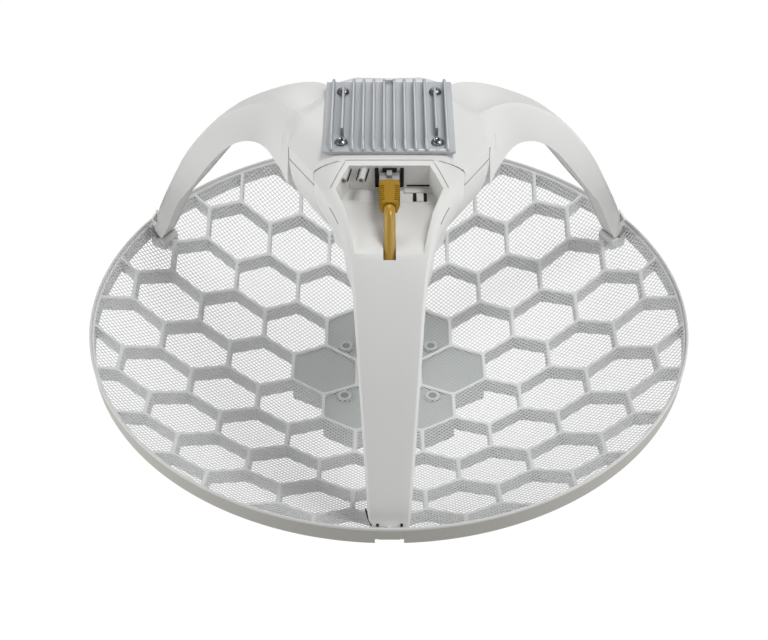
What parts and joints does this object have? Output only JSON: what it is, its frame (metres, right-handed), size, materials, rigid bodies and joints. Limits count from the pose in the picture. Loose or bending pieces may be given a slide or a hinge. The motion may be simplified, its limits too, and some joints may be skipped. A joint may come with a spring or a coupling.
{
  "type": "grid dish antenna",
  "caption": "Round open-grid reflector on a flat hub, with a three-arm feed head that carries a finned heat sink and an open network port bay with its plugged-in cable.",
  "frame": {"origin": "centre of the flat rear face of the hub, which the dish lies on", "axes": "+Z along the boresight from the hub towards the feed head, -Y towards the arm that carries the cable, +X to the right of it"},
  "size_m": [0.391, 0.391, 0.2243],
  "materials": {
    "white_plastic": "satin moulded plastic",
    "grille_plastic": "satin painted grid",
    "grey_plastic": "matt",
    "grey_alloy": "matt die-cast alloy",
    "steel_screw": "plain",
    "clear_plastic": "clear",
    "ochre_plastic": "satin cable jacket",
    "black_plastic": "matt"
  },
  "bodies": {
    "root": {"rim_ring": "white_plastic", "grille_ribs_1": "grille_plastic", "grille_ribs_2": "grille_plastic", "grille_ribs_3": "grille_plastic", "grille_ribs_4": "grille_plastic", "grille_ribs_5": "grille_plastic", "grille_ribs_6": "grille_plastic", "mesh_panel_1": "grille_plastic", "mesh_panel_2": "grille_plastic", "mesh_panel_3": "grille_plastic", "mesh_panel_4": "grille_plastic", "mesh_panel_5": "grille_plastic", "mesh_panel_6": "grille_plastic", "centre_plate": "grey_plastic", "hub_frame": "grille_plastic", "hub_back": "grille_plastic", "hub_boss_1": "grey_plastic", "hub_boss_2": "grey_plastic", "hub_boss_3": "grey_plastic", "hub_boss_4": "grey_plastic", "front_arm": "white_plastic", "left_arm": "white_plastic", "right_arm": "white_plastic", "front_arm_socket": "white_plastic", "left_arm_socket": "white_plastic", "right_arm_socket": "white_plastic", "head_shell": "white_plastic", "head_cover": "white_plastic", "feed_cap": "white_plastic", "port_bay": "white_plastic", "slot_block": "white_plastic", "light_peg_1": "white_plastic", "light_peg_2": "white_plastic", "heat_sink": "grey_alloy", "sink_screw_1": "steel_screw", "sink_screw_2": "steel_screw", "sink_screw_3": "steel_screw", "sink_screw_4": "steel_screw", "network_jack": "black_plastic", "network_plug": "clear_plastic", "plug_boot": "ochre_plastic", "data_cable": "ochre_plastic"}
  },
  "joints": []
}
